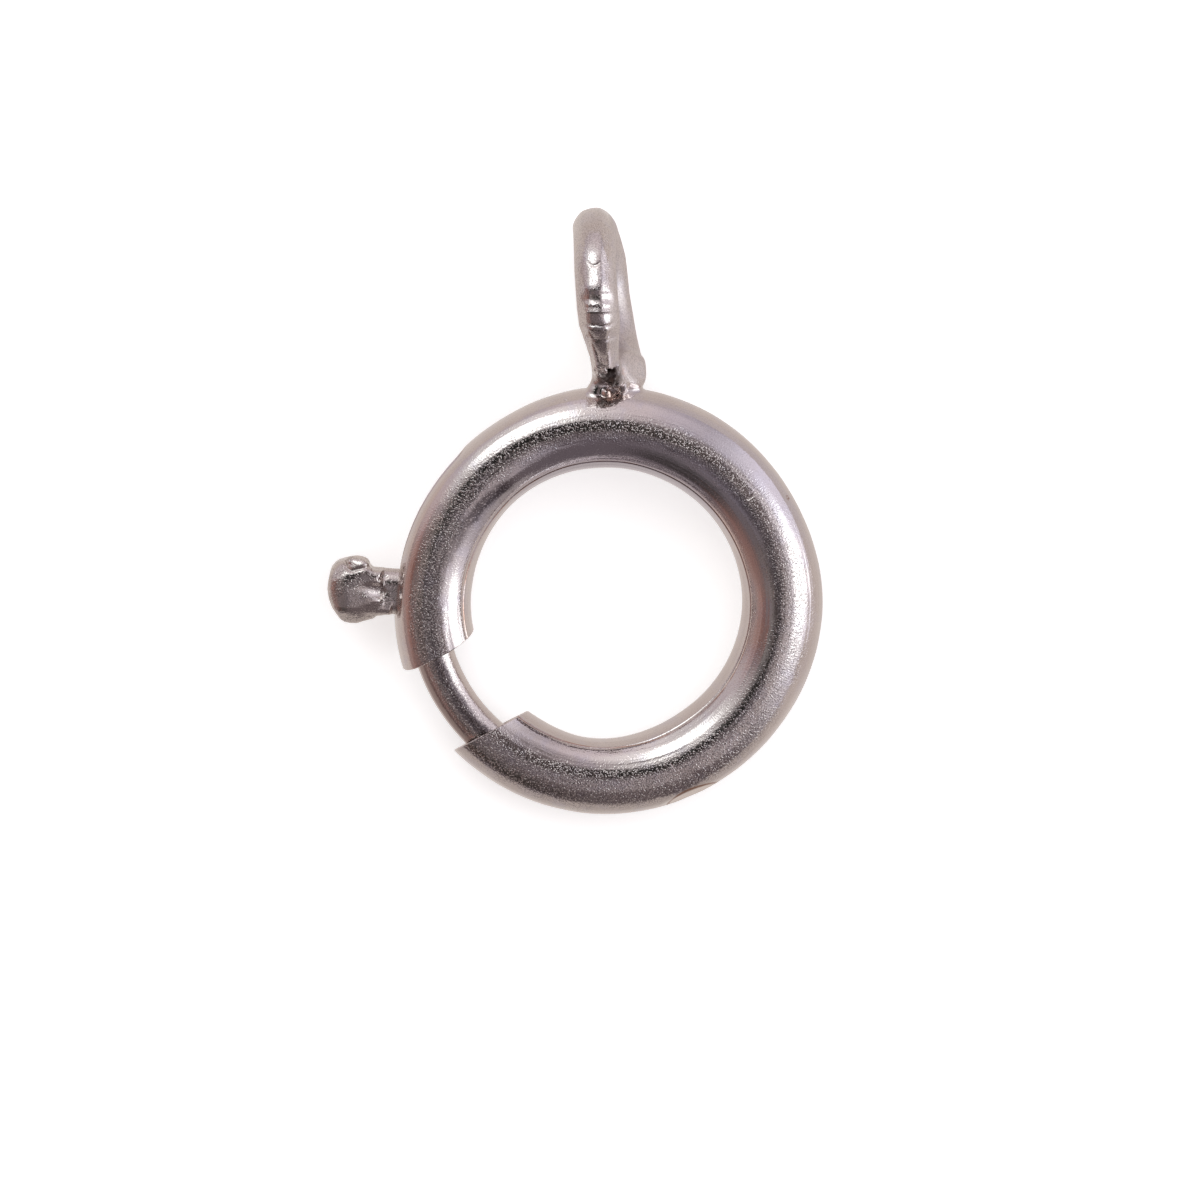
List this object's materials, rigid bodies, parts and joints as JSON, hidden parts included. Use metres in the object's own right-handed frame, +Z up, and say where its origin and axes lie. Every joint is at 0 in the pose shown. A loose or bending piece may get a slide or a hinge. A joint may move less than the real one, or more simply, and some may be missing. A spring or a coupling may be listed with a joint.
{
  "type": "spring ring clasp",
  "caption": "Round silver spring ring clasp: a hollow ring whose gap is closed by a sprung bolt with a thumb lever, and a soldered eye for a chain.",
  "frame": {"origin": "centre of the ring's opening", "axes": "+Y from the ring's centre towards the eye, +X to the side away from the thumb lever, +Z up from the surface that the clasp rests on with its eye end raised"},
  "size_m": [0.0081, 0.01, 0.0031],
  "materials": {
    "ring_silver": "polished sterling silver, warm, tumbled to a fine-grained gloss with hair scratches and a sooty tint round the solder",
    "bolt_silver": "drawn sterling silver wire, glossy, with fine rub marks along its length",
    "lever_silver": "cast sterling silver, tumbled, softly dented",
    "spring_steel": "drawn stainless spring wire, satin"
  },
  "bodies": {
    "clasp_ring": {"ring": "ring_silver", "spring": "spring_steel"},
    "clasp_bolt": {"bolt": "bolt_silver", "thumb_lever": "lever_silver"}
  },
  "joints": [
    {"name": "bolt_draw", "type": "hinge", "parent": "clasp_ring", "child": "clasp_bolt", "pos_m": [0, 0, 0], "axis": [0, 0.1133, -0.9936], "range_deg": [0, 38.3], "stiffness_Nm_per_rad": 0.004, "springref_deg": -28.65, "deforming": ["spring"]}
  ]
}
